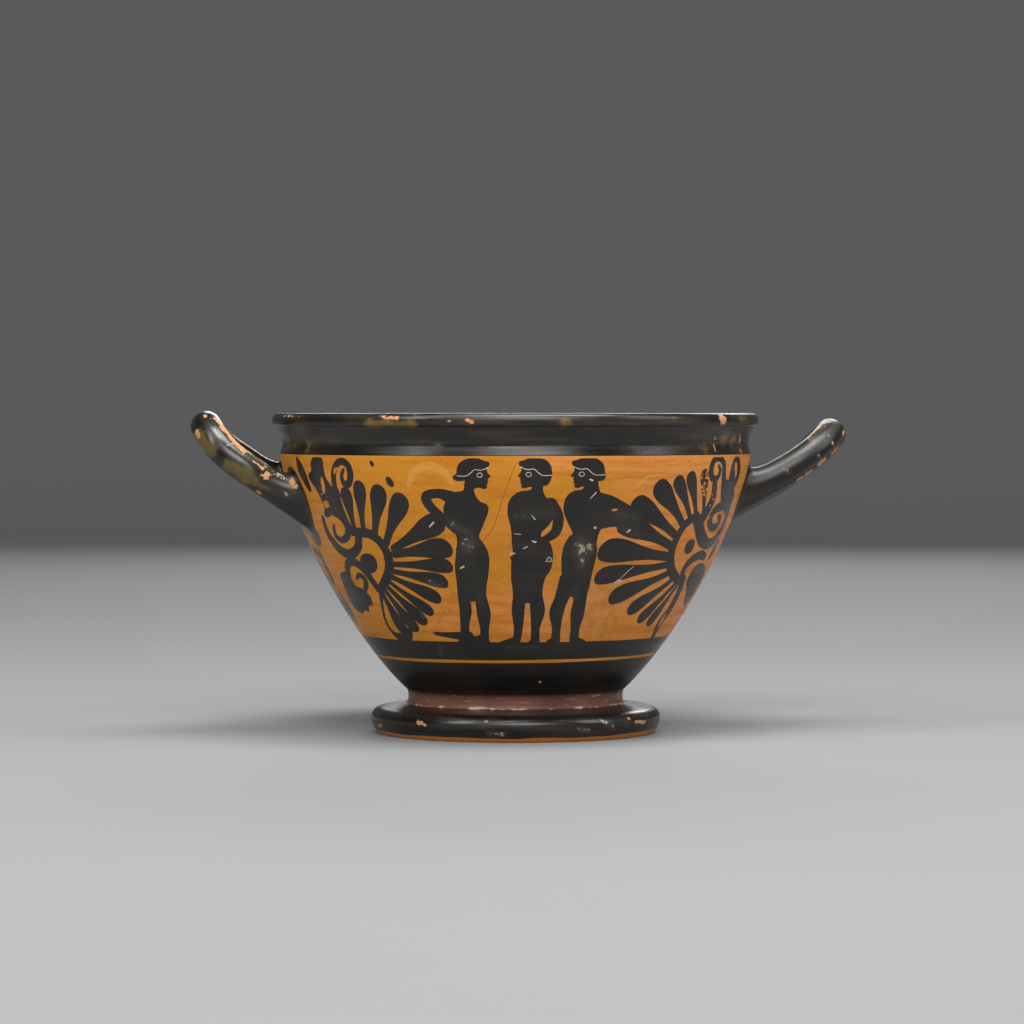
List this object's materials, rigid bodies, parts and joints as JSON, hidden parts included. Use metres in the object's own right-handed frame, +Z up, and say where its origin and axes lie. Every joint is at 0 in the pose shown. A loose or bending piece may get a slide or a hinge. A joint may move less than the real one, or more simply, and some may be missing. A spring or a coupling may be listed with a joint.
{
  "type": "skyphos",
  "caption": "Ancient deep drinking cup of fired clay with a moulded lip, tapering bowl, disc foot and horseshoe handles, painted in black figures.",
  "frame": {"origin": "on the surface that the foot stands on, in the middle of the whole width and depth, handles included", "axes": "+X through the longer handle, -X through the shorter handle, +Z up along the bowl's axis"},
  "size_m": [0.2993, 0.2198, 0.145],
  "materials": {
    "glazed_clay": "glossy black slip with an orange clay frieze"
  },
  "bodies": {
    "root": {"skyphos": "glazed_clay"}
  },
  "joints": []
}
